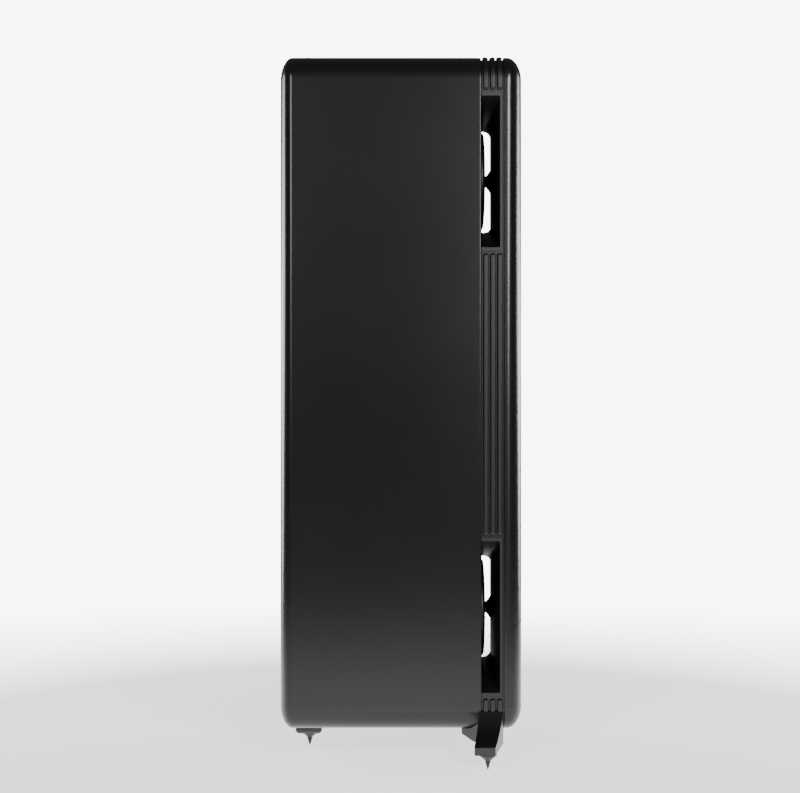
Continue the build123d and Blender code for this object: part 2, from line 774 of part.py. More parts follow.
with BuildPart() as band_screws:
    with BuildSketch(Plane.YZ.offset(baffle_back_x - band_screw_bite + 1)):
        with Locations(*band_screw_places):
            Circle(band_screw_diameter / 2)
    extrude(amount=band_screw_bite - 1 + baffle_thickness + band_depth - band_head_depth)
    with BuildSketch(Plane.YZ.offset(panel_back_x - band_head_depth)):
        with Locations(*band_screw_places):
            Circle(band_screw_head / 2)
            RegularPolygon(1.5, 6, mode=Mode.SUBTRACT)
    extrude(amount=band_head_depth - part_clearance)
band_screws.part.label = "band_screws"
export_step(band_screws.part, "parts/band_screws.step")

with BuildPart() as panel_studs:
    with BuildSketch(Plane.YZ.offset(panel_back_x - stud_bite + 1)):
        with Locations(*(stud_places + end_stud_places)):
            Circle(stud_diameter / 2)
    extrude(amount=2 * stud_bite - 2)
panel_studs.part.label = "panel_studs"
export_step(panel_studs.part, "parts/panel_studs.step")

# Filter seat: the frame at the end of the tunnel that the cassette's gasket presses on
seat_outer_width = door_width + 2 * tunnel_wall
seat_outer_height = door_height + 2 * tunnel_wall
magnet_y = door_width / 2 - door_gap - cassette_wall - magnet_diameter / 2 - 1.0
magnet_rise = door_height / 2 - door_gap - cassette_wall - magnet_diameter / 2 - 1.0
magnet_places = [(side * magnet_y, door_mid_z + end * magnet_rise) for side in (-1, 1) for end in (-1, 1)]

with BuildPart() as filter_seat:
    with BuildSketch(Plane.YZ.offset(seat_back_x)):
        with Locations((0, door_mid_z)):
            Rectangle(seat_outer_width, seat_outer_height)
            Rectangle(door_width - 2 * seat_lip, door_height - 2 * seat_lip, mode=Mode.SUBTRACT)
    extrude(amount=seat_thickness)
    with BuildSketch(Plane.YZ.offset(seat_back_x)):
        with Locations(*magnet_places):
            Circle(magnet_diameter / 2)
    extrude(amount=plate_thickness, mode=Mode.SUBTRACT)
filter_seat.part.label = "filter_seat"
export_step(filter_seat.part, "parts/filter_seat.step")

with BuildPart() as magnet_plates:
    with BuildSketch(Plane.YZ.offset(seat_back_x)):
        with Locations(*magnet_places):
            Circle(magnet_diameter / 2)
    extrude(amount=plate_thickness)
magnet_plates.part.label = "magnet_plates"
export_step(magnet_plates.part, "parts/magnet_plates.step")

# Filter cassette: louvred door, tray, pre-filter mesh, carbon block, pleated fine filter, gasket and magnets
door_outer_width = door_width - 2 * door_gap
door_outer_height = door_height - 2 * door_gap
door_back_x = rear_x + door_thickness
tray_front_x = seat_back_x - gasket_thickness - part_clearance
louvre_top = door_top - louvre_margin - grip_height - louvre_margin
louvre_bottom = door_bottom + louvre_margin
louvre_count = int((louvre_top - louvre_bottom) / louvre_pitch)
louvre_length = (door_outer_width - 2 * louvre_margin - louvre_post) / 2
grip_mid_z = door_top - louvre_margin - grip_height / 2
filter_bottom = door_bottom + door_gap + cassette_wall
filter_top = grip_mid_z - grip_height / 2 - grip_wall - cassette_wall - part_clearance
filter_height = filter_top - filter_bottom
filter_mid_z = (filter_bottom + filter_top) / 2
filter_width = door_outer_width - 2 * cassette_wall

with BuildPart() as rear_door:
    with BuildSketch(Plane.YZ.offset(rear_x)):
        with Locations((0, door_mid_z)):
            Rectangle(door_outer_width, door_outer_height)
    extrude(amount=door_thickness)
    fillet(rear_door.faces().sort_by(Axis.X)[0].edges(), door_edge_round)
    with BuildSketch(Plane.YZ.offset(rear_x)):
        with Locations((0, (louvre_top + louvre_bottom) / 2)):
            with GridLocations(louvre_length + louvre_post, louvre_pitch, 2, louvre_count):
                SlotOverall(louvre_length, louvre_height)
    extrude(amount=door_thickness, mode=Mode.SUBTRACT)
    # Finger grip: a cup behind the door
    with BuildSketch(Plane.YZ.offset(rear_x + door_thickness / 2)):
        with Locations((0, grip_mid_z)):
            Rectangle(grip_width + 2 * grip_wall, grip_height + 2 * grip_wall)
    extrude(amount=grip_depth + grip_wall - door_thickness / 2)
    with BuildSketch(Plane.YZ.offset(rear_x)):
        with Locations((0, grip_mid_z)):
            RectangleRounded(grip_width, grip_height, grip_height / 3)
    extrude(amount=grip_depth, mode=Mode.SUBTRACT)
rear_door.part.label = "rear_door"
export_step(rear_door.part, "parts/rear_door.step")

with BuildPart() as filter_tray:
    with BuildSketch(Plane.YZ.offset(door_back_x)):
        with Locations((0, door_mid_z)):
            Rectangle(door_outer_width, door_outer_height)
            Rectangle(
                door_outer_width - 2 * cassette_wall,
                door_outer_height - 2 * cassette_wall,
                mode=Mode.SUBTRACT,
            )
    extrude(amount=tray_front_x - door_back_x)
    with BuildSketch(Plane.YZ.offset(tray_front_x)):
        with Locations((0, door_mid_z)):
            Rectangle(door_outer_width, door_outer_height)
            Rectangle(
                door_width - 2 * seat_lip,
                door_height - 2 * seat_lip,
                mode=Mode.SUBTRACT,
            )
    extrude(amount=-tray_lip)
    # Shelf that closes the filters' space below the finger grip
    with BuildSketch(Plane.YZ.offset(door_back_x)):
        with Locations((0, filter_top + cassette_wall / 2)):
            Rectangle(door_outer_width, cassette_wall)
    extrude(amount=tray_front_x - door_back_x)
    with BuildSketch(Plane.YZ.offset(tray_front_x)):
        with Locations(*magnet_places):
            Circle(magnet_diameter / 2)
    extrude(amount=-magnet_thickness, mode=Mode.SUBTRACT)
filter_tray.part.label = "filter_tray"
export_step(filter_tray.part, "parts/filter_tray.step")

with BuildPart() as door_magnets:
    with BuildSketch(Plane.YZ.offset(tray_front_x)):
        with Locations(*magnet_places):
            Circle(magnet_diameter / 2)
    extrude(amount=-magnet_thickness)
door_magnets.part.label = "door_magnets"
export_step(door_magnets.part, "parts/door_magnets.step")

with BuildPart() as filter_gasket:
    with BuildSketch(Plane.YZ.offset(tray_front_x)):
        with Locations((0, door_mid_z)):
            Rectangle(door_width - 2 * seat_lip + 2 * gasket_width, door_height - 2 * seat_lip + 2 * gasket_width)
            Rectangle(door_width - 2 * seat_lip, door_height - 2 * seat_lip, mode=Mode.SUBTRACT)
    extrude(amount=gasket_thickness)
filter_gasket.part.label = "filter_gasket"
export_step(filter_gasket.part, "parts/filter_gasket.step")

prefilter_x = door_back_x
carbon_x = prefilter_x + prefilter_thickness
pleat_back_x = carbon_x + carbon_thickness
pleat_depth = tray_front_x - tray_lip - pleat_back_x - pleat_thickness

with BuildPart() as prefilter_mesh:
    with BuildSketch(Plane.YZ.offset(prefilter_x)):
        with Locations((0, filter_mid_z)):
            Rectangle(filter_width, filter_height)
    extrude(amount=prefilter_thickness)
prefilter_mesh.part.label = "prefilter_mesh"
export_step(prefilter_mesh.part, "parts/prefilter_mesh.step")

with BuildPart() as carbon_filter:
    with BuildSketch(Plane.YZ.offset(carbon_x)):
        with Locations((0, filter_mid_z)):
            Rectangle(filter_width, filter_height)
    extrude(amount=carbon_thickness)
carbon_filter.part.label = "carbon_filter"
export_step(carbon_filter.part, "parts/carbon_filter.step")

pleat_count = int(filter_width / pleat_pitch)
pleat_step = filter_width / (2 * pleat_count)
pleat_line = [
    (pleat_back_x + (fold % 2) * pleat_depth, -filter_width / 2 + fold * pleat_step)
    for fold in range(2 * pleat_count + 1)
]
with BuildPart() as hepa_filter:
    with BuildSketch(Plane.XY.offset(filter_bottom)):
        with BuildLine():
            Polyline(*pleat_line)
            Polyline(*[(x + pleat_thickness, y) for x, y in pleat_line])
            Line(pleat_line[0], (pleat_line[0][0] + pleat_thickness, pleat_line[0][1]))
            Line(pleat_line[-1], (pleat_line[-1][0] + pleat_thickness, pleat_line[-1][1]))
        make_face()
    extrude(amount=filter_height)
hepa_filter.part.label = "hepa_filter"
export_step(hepa_filter.part, "parts/hepa_filter.step")

# Mains inlet and rocker switch, both pressed into the floor of the service recess
recess_floor_x = rear_x + service_depth
with BuildPart() as mains_inlet:
    with BuildSketch(Plane.YZ.offset(recess_floor_x)):
        with Locations((inlet_y, service_mid_z)):
            RectangleRounded(inlet_body_width + 2 * flange_lip, inlet_body_height + 2 * flange_lip, 2.5)
    extrude(amount=-flange_thickness)
    with BuildSketch(Plane.YZ.offset(recess_floor_x)):
        with Locations((inlet_y, service_mid_z)):
            Rectangle(inlet_body_width, inlet_body_height)
    extrude(amount=inlet_body_depth)
    with BuildSketch(Plane.YZ.offset(recess_floor_x - flange_thickness)) as socket_mouth:
        with Locations((inlet_y, service_mid_z)):
            Rectangle(socket_width, socket_height)
        chamfer(socket_mouth.vertices().group_by(Axis.Y)[-1], socket_corner)
    extrude(amount=socket_depth, mode=Mode.SUBTRACT)
    with BuildSketch(Plane.YZ.offset(recess_floor_x - flange_thickness + socket_depth)):
        with Locations(
            (inlet_y - blade_spacing, service_mid_z - 2.0),
            (inlet_y + blade_spacing, service_mid_z - 2.0),
            (inlet_y, service_mid_z + 2.0),
        ):
            Rectangle(2.0, 4.0)
    extrude(amount=-contact_length)
mains_inlet.part.label = "mains_inlet"
export_step(mains_inlet.part, "parts/mains_inlet.step")

rocker_pivot_x = recess_floor_x + 3.5
with BuildPart() as rocker_bezel:
    with BuildSketch(Plane.YZ.offset(recess_floor_x)):
        with Locations((rocker_y, service_mid_z)):
            RectangleRounded(rocker_body_width + 2 * flange_lip, rocker_body_height + 2 * flange_lip, 1.5)
    extrude(amount=-flange_thickness)
    with BuildSketch(Plane.YZ.offset(recess_floor_x)):
        with Locations((rocker_y, service_mid_z)):
            Rectangle(rocker_body_width, rocker_body_height)
    extrude(amount=rocker_body_depth)
    with BuildSketch(Plane.YZ.offset(recess_floor_x - flange_thickness)):
        with Locations((rocker_y, service_mid_z)):
            Rectangle(rocker_body_width - 2 * rocker_wall, rocker_body_height - 2 * rocker_wall)
    extrude(amount=rocker_pocket, mode=Mode.SUBTRACT)
    with BuildSketch(Plane.XZ.offset(-rocker_y)):
        with Locations((rocker_pivot_x, service_mid_z)):
            Circle(rocker_pin / 2 + running_clearance)
    extrude(amount=rocker_body_width / 2 - rocker_wall / 2, both=True, mode=Mode.SUBTRACT)
rocker_bezel.part.label = "rocker_bezel"
export_step(rocker_bezel.part, "parts/rocker_bezel.step")

rocker_width = rocker_body_width - 2 * rocker_wall - 2 * part_clearance
with BuildPart() as rocker_switch:
    with BuildSketch(Plane.XZ.offset(-rocker_y)):
        with Locations(Location((rocker_pivot_x, service_mid_z), rocker_tilt)):
            Polygon((-7.0, 7.2), (-5.2, 0), (-7.0, -7.2), (-1.0, -7.0), (3.0, -4.0), (3.0, 4.0), (-1.0, 7.0), align=None)
    extrude(amount=rocker_width / 2, both=True)
    with BuildSketch(Plane.XZ.offset(-rocker_y)):
        with Locations((rocker_pivot_x, service_mid_z)):
            Circle(rocker_pin / 2)
    extrude(amount=rocker_body_width / 2 - rocker_wall / 2 - part_clearance, both=True)
rocker_switch.part.label = "rocker_switch"
export_step(rocker_switch.part, "parts/rocker_switch.step")

# Controls on the top: strip, three sprung buttons, status light, and the switch board below
strip_bottom = cabinet_top - strip_thickness
board_top = cabinet_top - control_board_drop
button_places = [((number - 1.5) * button_pitch + button_pitch / 4, name) for number, name in enumerate(button_names)]
light_y = 1.5 * button_pitch
with BuildPart() as control_strip:
    with BuildSketch(Plane.XY.offset(strip_bottom)):
        with Locations((strip_x, 0)):
            RectangleRounded(strip_depth, strip_width, strip_corner)
        for place_y, _ in button_places:
            with Locations((strip_x, place_y)):
                Circle(button_diameter / 2 + part_clearance, mode=Mode.SUBTRACT)
        with Locations((strip_x, light_y)):
            SlotOverall(light_length, light_width, rotation=90, mode=Mode.SUBTRACT)
    extrude(amount=strip_thickness)
    with BuildSketch(Plane.XY.offset(strip_bottom)):
        with Locations((strip_x, strip_post_y), (strip_x, -strip_post_y)):
            Circle(strip_post_diameter / 2)
    extrude(amount=board_top - strip_bottom)
control_strip.part.label = "control_strip"
export_step(control_strip.part, "parts/control_strip.step")

with BuildPart() as status_light:
    with BuildSketch(Plane.XY.offset(cabinet_top - light_sink)):
        with Locations((strip_x, light_y)):
            SlotOverall(light_length, light_width, rotation=90)
    extrude(amount=-strip_thickness)
status_light.part.label = "status_light"
export_step(status_light.part, "parts/status_light.step")

for place_y, button_name in button_places:
    with BuildPart() as button:
        with BuildSketch(Plane.XY.offset(strip_bottom - part_clearance)):
            with Locations((strip_x, place_y)):
                Circle(button_diameter / 2)
        extrude(amount=strip_thickness + part_clearance)
        fillet(button.edges().group_by(Axis.Z)[-1], button_edge_round)
        with BuildSketch(Plane.XY.offset(strip_bottom - part_clearance)):
            with Locations((strip_x, place_y)):
                Circle(button_diameter / 2 + button_flange)
        extrude(amount=-button_flange_thickness)
        with BuildSketch(Plane.XY.offset(strip_bottom - part_clearance)):
            with Locations((strip_x, place_y)):
                Circle(stem_diameter / 2)
        extrude(amount=board_top + stem_lift - strip_bottom + part_clearance)
    button.part.label = button_name
    export_step(button.part, f"parts/{button_name}.step")

with BuildPart() as button_board:
    with BuildSketch(Plane.XY.offset(board_top)):
        with Locations((strip_x, 0)):
            RectangleRounded(board_strip_depth, strip_width - 2 * strip_ledge, 1)
    extrude(amount=-pcb_thickness)
button_board.part.label = "button_board"
export_step(button_board.part, "parts/button_board.step")

with BuildPart() as tact_switches:
    for place_y, _ in button_places:
        with BuildSketch(Plane.XY.offset(board_top)):
            with Locations((strip_x, place_y)):
                Rectangle(tact_size, tact_size)
                Circle(stem_diameter / 2 + stem_clearance, mode=Mode.SUBTRACT)
        extrude(amount=tact_height)
tact_switches.part.label = "tact_switches"
export_step(tact_switches.part, "parts/tact_switches.step")

# Front stand: one casting with a cross-beam under the cabinet and a swept leg on each side
leg_end_y = half_width + leg_reach
hug_radius = corner_radius + leg_gap
hug_z = cabinet_bottom + corner_radius
root_y = flat_half_width + sqrt(hug_radius**2 - (hug_z - leg_root_top) ** 2)
leg_root_front = beam_front_x + 0.3
leg_root_rear = leg_root_front - leg_root_width
leg_end_rear = leg_root_rear - leg_sweep + 4.3
beam_bottom = cabinet_bottom - beam_thickness
hug_middle = radians(-50)

with BuildPart() as right_leg:
    with BuildSketch(Plane.YZ.offset(beam_rear_x)) as leg_side:
        with BuildLine():
            Polyline(
                (0, cabinet_bottom),
                (0, beam_bottom),
                (flat_half_width - 6, beam_bottom),
                (flat_half_width + 17, leg_end_bottom + 4.5),
                (leg_end_y, leg_end_bottom),
                (leg_end_y, leg_end_top),
            )
            ThreePointArc(
                (leg_end_y, leg_end_top),
                (root_y + 0.42 * (leg_end_y - root_y), leg_end_top + 0.38 * (leg_root_top - leg_end_top)),
                (root_y, leg_root_top),
            )
            ThreePointArc(
                (root_y, leg_root_top),
                (flat_half_width + hug_radius * cos(hug_middle), hug_z + hug_radius * sin(hug_middle)),
                (flat_half_width, hug_z - hug_radius),
            )
            Polyline((flat_half_width, hug_z - hug_radius), (flat_half_width, cabinet_bottom), (0, cabinet_bottom))
        make_face()
    extrude(amount=beam_front_x - beam_rear_x + 1)
    extrude(leg_side.sketch, amount=-2 * leg_sweep)
    with BuildSketch(Plane.XY) as leg_plan:
        with BuildLine():
            Polyline(
                (beam_rear_x, 0),
                (beam_rear_x, flat_half_width - 3),
                (leg_root_rear, half_width - 3),
                (leg_end_rear, leg_end_y),
                (leg_end_rear + leg_end_width, leg_end_y),
                (leg_root_front, half_width - 3),
                (leg_root_front, 0),
                close=True,
            )
        make_face()
        fillet(leg_plan.vertices().group_by(Axis.Y)[-1], leg_corner_round)
    extrude(amount=2 * leg_root_top, mode=Mode.INTERSECT)
    chamfer(right_leg.faces().filter_by(Axis.Z).sort_by(Axis.Z)[0].edges().filter_by(Axis.Y), beam_chamfer)

left_leg = mirror(right_leg.part, about=Plane.XZ)
with BuildPart() as front_stand:
    add(right_leg.part)
    add(left_leg)
    for side in (-1, 1):
        with BuildSketch(Plane.XY.offset(spike_collar_top)):
            with Locations((spike_x, side * spike_y)):
                Circle(collar_diameter / 2 - 1)
        extrude(amount=boss_drop)
        with BuildSketch(Plane.XY.offset(spike_collar_top)):
            with Locations((spike_x, side * spike_y)):
                Circle(collar_diameter / 2 + 2)
        extrude(amount=-spike_collar_top, mode=Mode.SUBTRACT)
        with BuildSketch(Plane.XY.offset(spike_collar_top)):
            with Locations((spike_x, side * spike_y)):
                Circle(insert_diameter / 2)
        extrude(amount=insert_length, mode=Mode.SUBTRACT)
    for screw_x, screw_y in stand_screw_places[:2]:
        with BuildSketch(Plane.XY.offset(beam_bottom)):
            with Locations((screw_x, screw_y)):
                Circle(stand_screw_diameter / 2)
        extrude(amount=beam_thickness, mode=Mode.SUBTRACT)
        with BuildSketch(Plane.XY.offset(beam_bottom)):
            with Locations((screw_x, screw_y)):
                Circle(stand_head_diameter / 2 + part_clearance)
        extrude(amount=stand_head_height + 1, mode=Mode.SUBTRACT)
front_stand.part.label = "front_stand"
export_step(front_stand.part, "parts/front_stand.step")

# Rear foot: a chamfered block under the back of the cabinet
with BuildPart() as rear_foot:
    with BuildSketch(Plane.XY.offset(cabinet_bottom)):
        with Locations((rear_foot_x, 0)):
            RectangleRounded(rear_foot_length, rear_foot_width, leg_corner_round)
    extrude(amount=spike_collar_top - cabinet_bottom)
    chamfer(rear_foot.faces().sort_by(Axis.Z)[0].edges(), beam_chamfer)
    with BuildSketch(Plane.XY.offset(spike_collar_top)):
        with Locations((rear_foot_x, 0)):
            Circle(insert_diameter / 2)
    extrude(amount=insert_length, mode=Mode.SUBTRACT)
    for screw_x, screw_y in stand_screw_places[2:]:
        with BuildSketch(Plane.XY.offset(spike_collar_top)):
            with Locations((screw_x, screw_y)):
                Circle(stand_screw_diameter / 2)
        extrude(amount=cabinet_bottom - spike_collar_top, mode=Mode.SUBTRACT)
        with BuildSketch(Plane.XY.offset(spike_collar_top)):
            with Locations((screw_x, screw_y)):
                Circle(stand_head_diameter / 2 + part_clearance)
        extrude(amount=rear_counterbore, mode=Mode.SUBTRACT)
rear_foot.part.label = "rear_foot"
export_step(rear_foot.part, "parts/rear_foot.step")

with BuildPart() as stand_screws:
    for (screw_x, screw_y), head_top in zip(
        stand_screw_places,
        2 * (beam_bottom + stand_head_height + 1,) + 2 * (spike_collar_top + rear_counterbore,),
    ):
        with BuildSketch(Plane.XY.offset(head_top)):
            with Locations((screw_x, screw_y)):
                Circle(stand_screw_diameter / 2)
        extrude(amount=cabinet_bottom + housing_wall - head_top)
        with BuildSketch(Plane.XY.offset(head_top)):
            with Locations((screw_x, screw_y)):
                Circle(stand_head_diameter / 2)
                RegularPolygon(1.8, 6, mode=Mode.SUBTRACT)
        extrude(amount=-stand_head_height)
        with BuildSketch(Plane.XY.offset(head_top)):
            with Locations((screw_x, screw_y)):
                Circle(stand_head_diameter / 2)
        extrude(amount=-1)
stand_screws.part.label = "stand_screws"
export_step(stand_screws.part, "parts/stand_screws.step")

spikes = (
    ("right_front_spike", spike_x, -spike_y),
    ("left_front_spike", spike_x, spike_y),
    ("rear_spike", rear_foot_x, 0),
)
with BuildPart() as spike_inserts:
    for _, place_x, place_y in spikes:
        with BuildSketch(Plane.XY.offset(spike_collar_top)):
            with Locations((place_x, place_y)):
                Circle(insert_diameter / 2)
                Circle(shank_diameter / 2 + running_clearance, mode=Mode.SUBTRACT)
        extrude(amount=insert_length)
spike_inserts.part.label = "spike_inserts"
export_step(spike_inserts.part, "parts/spike_inserts.step")

for spike_name, place_x, place_y in spikes:
    with BuildPart() as spike:
        with BuildSketch(Plane.XZ):
            with BuildLine():
                Polyline(
                    (0, 0),
                    (spike_tip, 0),
                    (shank_diameter / 2, cone_height),
                    (collar_diameter / 2 - 1, flare_height),
                    (collar_diameter / 2, flare_height + 1),
                    (collar_diameter / 2, spike_collar_top - part_clearance),
                    (shank_diameter / 2, spike_collar_top - part_clearance),
                    (shank_diameter / 2, spike_collar_top + shank_length),
                    (0, spike_collar_top + shank_length),
                    close=True,
                )
            make_face()
        revolve(axis=Axis.Z)
    spike.part = Pos(place_x, place_y, 0) * spike.part
    spike.part.label = spike_name
    export_step(spike.part, f"parts/{spike_name}.step")

# Boards on the back of the baffle between the fans, on standoffs
board_back_x = baffle_back_x - standoff_length - pcb_thickness
boards = (
    ("power_board", mid_z - 101.0, power_board_height),
    ("control_board", mid_z + 79.0, control_board_height),
)
with BuildPart() as board_standoffs:
    for _, board_z, board_height in boards:
        with BuildSketch(Plane.YZ.offset(baffle_back_x)):
            with Locations((0, board_z)):
                with GridLocations(board_width - 10, board_height - 10, 2, 2):
                    RegularPolygon(standoff_size / 2, 6)
        extrude(amount=-standoff_length)
board_standoffs.part.label = "board_standoffs"
export_step(board_standoffs.part, "parts/board_standoffs.step")

with BuildPart() as power_board:
    board_z = boards[0][1]
    with BuildSketch(Plane.YZ.offset(board_back_x)):
        with Locations((0, board_z)):
            RectangleRounded(board_width, power_board_height, 2)
    extrude(amount=pcb_thickness)
    with BuildSketch(Plane.YZ.offset(board_back_x)):
        with Locations((-14, board_z + 6)):
            Rectangle(34, 30)
    extrude(amount=-24)
    with BuildSketch(Plane.YZ.offset(board_back_x)):
        with Locations((26, board_z + 22), (26, board_z - 2)):
            Circle(9)
    extrude(amount=-28)
    with BuildSketch(Plane.YZ.offset(board_back_x)):
        with Locations((inlet_y, board_z - power_board_height / 2 + 8)):
            Rectangle(24, 12)
        with Locations((-28, board_z + power_board_height / 2 - 9)):
            Rectangle(16, 8)
    extrude(amount=-11)
power_board.part.label = "power_board"
export_step(power_board.part, "parts/power_board.step")

with BuildPart() as control_board:
    board_z = boards[1][1]
    with BuildSketch(Plane.YZ.offset(board_back_x)):
        with Locations((0, board_z)):
            RectangleRounded(board_width, control_board_height, 2)
    extrude(amount=pcb_thickness)
    with BuildSketch(Plane.YZ.offset(board_back_x)):
        with Locations((lead_y, board_z + control_board_height / 2 - 8), (lead_y, board_z - control_board_height / 2 + 8)):
            Rectangle(16, 8)
        with Locations((-20, board_z + 28), (-20, board_z - 24)):
            Rectangle(20, 16)
    extrude(amount=-9)
    with BuildSketch(Plane.YZ.offset(board_back_x)):
        with Locations((0, board_z)):
            Rectangle(14, 14)
    extrude(amount=-1.6)
control_board.part.label = "control_board"
export_step(control_board.part, "parts/control_board.step")

with BuildPart() as board_screws:
    for _, board_z, board_height in boards:
        with BuildSketch(Plane.YZ.offset(board_back_x)):
            with Locations((0, board_z)):
                with GridLocations(board_width - 10, board_height - 10, 2, 2):
                    Circle(board_screw_head / 2)
        extrude(amount=-2)
board_screws.part.label = "board_screws"
export_step(board_screws.part, "parts/board_screws.step")

with BuildPart() as air_sensor:
    with BuildSketch(Plane.XZ.offset(-(half_width - housing_wall))):
        with Locations((seat_back_x + 60.0, mid_z + 60.0)):
            RectangleRounded(sensor_length, sensor_height, 2)
    extrude(amount=sensor_thickness)
    with BuildSketch(Plane.XZ.offset(-(half_width - housing_wall - sensor_thickness))):
        with Locations((seat_back_x + 60.0, mid_z + 60.0)):
            Circle(sensor_port / 2)
    extrude(amount=-sensor_thickness / 2, mode=Mode.SUBTRACT)
air_sensor.part.label = "air_sensor"
export_step(air_sensor.part, "parts/air_sensor.step")

# Leads clipped inside the cabinet: mains from the inlet to the power board, and one from each fan
lead_x = board_back_x - lead_lift
fan_lead_x = fan_back_x + fan_flange + fan_lead_diameter
upper_fan_bottom = outlet_levels[0][1] - fan_frame_size / 2
lower_fan_top = outlet_levels[1][1] + fan_frame_size / 2
control_board_top = boards[1][1] + control_board_height / 2 - 4
control_board_bottom = boards[1][1] - control_board_height / 2 + 4
power_board_bottom = boards[0][1] - power_board_height / 2 + 2
side_y = board_width / 2 + 17.0
lead_routes = {
    "mains_lead": (
        mains_lead_diameter,
        20.0,
        (
            (recess_floor_x + inlet_body_depth, inlet_y, service_mid_z),
            (seat_back_x + 30.0, inlet_y, service_mid_z),
            (seat_back_x + 30.0, inlet_y, lower_fan_top + 20.0),
            (lead_x, inlet_y, lower_fan_top + 20.0),
            (lead_x, inlet_y, power_board_bottom),
        ),
    ),
    "upper_fan_lead": (
        fan_lead_diameter,
        8.0,
        (
            (fan_lead_x, lead_y, upper_fan_bottom),
            (fan_lead_x, lead_y, upper_fan_bottom - 30.0),
            (lead_x, lead_y, upper_fan_bottom - 45.0),
            (lead_x, lead_y, control_board_top),
        ),
    ),
    "lower_fan_lead": (
        fan_lead_diameter,
        8.0,
        (
            (fan_lead_x, side_y, lower_fan_top),
            (fan_lead_x, side_y, lower_fan_top + 25.0),
            (lead_x, side_y, lower_fan_top + 45.0),
            (lead_x, side_y, control_board_bottom - 45.0),
            (lead_x, lead_y, control_board_bottom - 25.0),
            (lead_x, lead_y, control_board_bottom),
        ),
    ),
}
for lead_name, (lead_diameter, bend_radius, route_points) in lead_routes.items():
    with BuildPart() as lead:
        with BuildLine() as route:
            FilletPolyline(*route_points, radius=bend_radius)
        with BuildSketch(Plane(origin=route_points[0], z_dir=Vector(*route_points[1]) - Vector(*route_points[0]))):
            Circle(lead_diameter / 2)
        sweep(path=route.wire())
    lead.part.label = lead_name
    export_step(lead.part, f"parts/{lead_name}.step")
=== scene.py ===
import math

import bmesh
import bpy
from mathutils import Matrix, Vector

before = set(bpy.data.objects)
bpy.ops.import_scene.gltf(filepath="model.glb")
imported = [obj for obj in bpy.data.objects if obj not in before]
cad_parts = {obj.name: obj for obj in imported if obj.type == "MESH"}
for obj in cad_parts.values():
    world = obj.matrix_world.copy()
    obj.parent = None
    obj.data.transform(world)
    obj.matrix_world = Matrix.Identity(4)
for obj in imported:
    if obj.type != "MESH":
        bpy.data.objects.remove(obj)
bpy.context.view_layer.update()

# Camera: a lens square on to the purifier's wide left-hand side, a little above half its height, about two
# and a half metres off, as a maker stands back from a tall cabinet to see all of one side.
camera_data = bpy.data.cameras.new("side_camera")
camera_data.lens = 77.9
camera_data.sensor_width = 36.0
camera = bpy.data.objects.new("side_camera", camera_data)
camera.location = (-0.00125, -2.416, 0.486)
camera.rotation_euler = (math.pi / 2, 0, 0)
bpy.context.scene.collection.objects.link(camera)
bpy.context.scene.camera = camera


class Wire:
    """A shader socket that adds its own Math nodes when it is used in a sum."""

    def __init__(self, tree, socket):
        self.tree = tree
        self.socket = socket

    def node(self, kind, settings=None, outlet=0, **inputs):
        """Adds a node: its settings first, then the values or wires of its sockets, by name or number."""
        made = self.tree.nodes.new(kind)
        for name, value in (settings or {}).items():
            if name == "stops":
                ramp = made.color_ramp
                while len(ramp.elements) < len(value):
                    ramp.elements.new(0.5)
                for element, (place, colour) in zip(ramp.elements, value):
                    element.position = place
                    element.color = colour
            else:
                setattr(made, name, value)
        for name, value in inputs.items():
            key = int(name[1:]) if name[0] == "s" and name[1:].isdigit() else name.replace("_", " ")
            if isinstance(value, Wire):
                self.tree.links.new(value.socket, made.inputs[key])
            else:
                made.inputs[key].default_value = value
        return Wire(self.tree, made.outputs[outlet])

    def sum(self, operation, first, second):
        return self.node("ShaderNodeMath", {"operation": operation}, s0=first, s1=second)

    def __add__(self, other):
        return self.sum("ADD", self, other)

    __radd__ = __add__

    def __sub__(self, other):
        return self.sum("SUBTRACT", self, other)

    def __rsub__(self, other):
        return self.sum("SUBTRACT", other, self)

    def __mul__(self, other):
        return self.sum("MULTIPLY", self, other)

    __rmul__ = __mul__

    def __truediv__(self, other):
        return self.sum("DIVIDE", self, other)


def finish_coat(name, dark, light, roughness, speckle, bump, metallic=0.0, coat=0.0, grain=900.0, wave=6.0):
    """A moulded, cast or sprayed finish: fine grain in the bump, and slow drifts of tone and gloss."""
    material = bpy.data.materials.new(name)
    material.use_nodes = True
    tree = material.node_tree
    shader = tree.nodes["Principled BSDF"]
    start = Wire(tree, None)
    place = start.node("ShaderNodeTexCoord", outlet=3)
    fine = start.node("ShaderNodeTexNoise", outlet=0, Vector=place, Scale=grain, Detail=3.0, Roughness=0.6)
    slow = start.node("ShaderNodeTexNoise", outlet=0, Vector=place, Scale=wave, Detail=2.0, Roughness=0.5)
    tone = slow * 0.7 + fine * 0.3
    colour = start.node(
        "ShaderNodeValToRGB",
        {"stops": ((0.3, (*dark, 1)), (0.7, (*light, 1)))},
        s0=tone,
    )
    gloss = roughness + (slow - 0.5) * speckle + (fine - 0.5) * speckle
    relief = start.node("ShaderNodeBump", Strength=bump, Distance=0.0002, Height=fine)
    tree.links.new(colour.socket, shader.inputs["Base Color"])
    tree.links.new(gloss.socket, shader.inputs["Roughness"])
    tree.links.new(relief.socket, shader.inputs["Normal"])
    shader.inputs["Metallic"].default_value = metallic
    shader.inputs["Coat Weight"].default_value = coat
    shader.inputs["Coat Roughness"].default_value = 0.25
    return material


def dress(material, *nodes):
    """Puts a finish on CAD nodes in place of their plain one."""
    for node in nodes:
        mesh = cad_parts[node].data
        mesh.materials.clear()
        mesh.materials.append(material)


